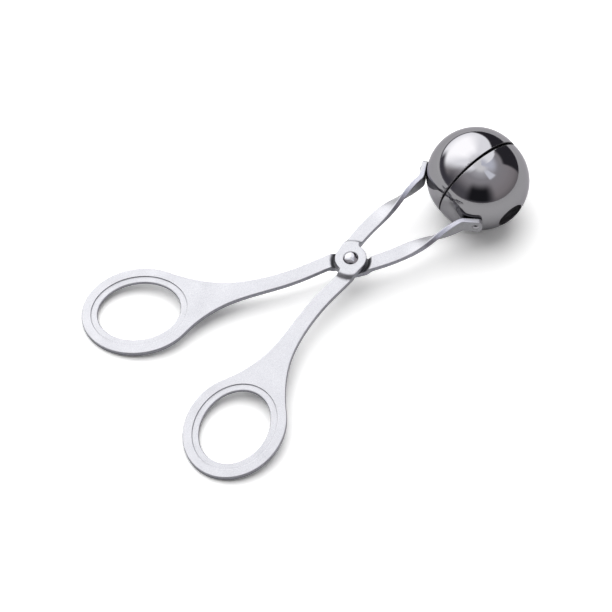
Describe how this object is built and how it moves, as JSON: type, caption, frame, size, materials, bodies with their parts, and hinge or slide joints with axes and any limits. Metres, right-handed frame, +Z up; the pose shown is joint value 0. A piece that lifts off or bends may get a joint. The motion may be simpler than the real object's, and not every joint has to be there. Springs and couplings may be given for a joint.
{
  "type": "meatball tongs",
  "caption": "Scissor tongs with oval finger rings, a riveted crossing and a hollow ball split in two cups that portions and shapes meatballs.",
  "frame": {"origin": "middle of the part's box, on the table that the ball and the two rings lie on", "axes": "+X from the finger rings to the ball, +Z up off the table, +Y to the side of the bottom arm's ring"},
  "size_m": [0.2074, 0.1198, 0.0453],
  "materials": {
    "arm_steel": "satin blasted",
    "cup_steel": "mirror polished",
    "rivet_steel": "polished"
  },
  "bodies": {
    "bottom_jaw": {"bottom_arm": "arm_steel", "bottom_cup": "cup_steel", "bottom_cup_rivet": "rivet_steel", "pivot_rivet": "rivet_steel", "pivot_washer": "rivet_steel"},
    "top_jaw": {"top_arm": "arm_steel", "top_cup": "cup_steel", "top_cup_rivet": "rivet_steel"}
  },
  "joints": [
    {"name": "scissor_pivot", "type": "hinge", "parent": "bottom_jaw", "child": "top_jaw", "pos_m": [0.01037, 0, 0.01442], "axis": [-0.1152, 0, 0.9933], "range_deg": [-0.8, 33]}
  ]
}
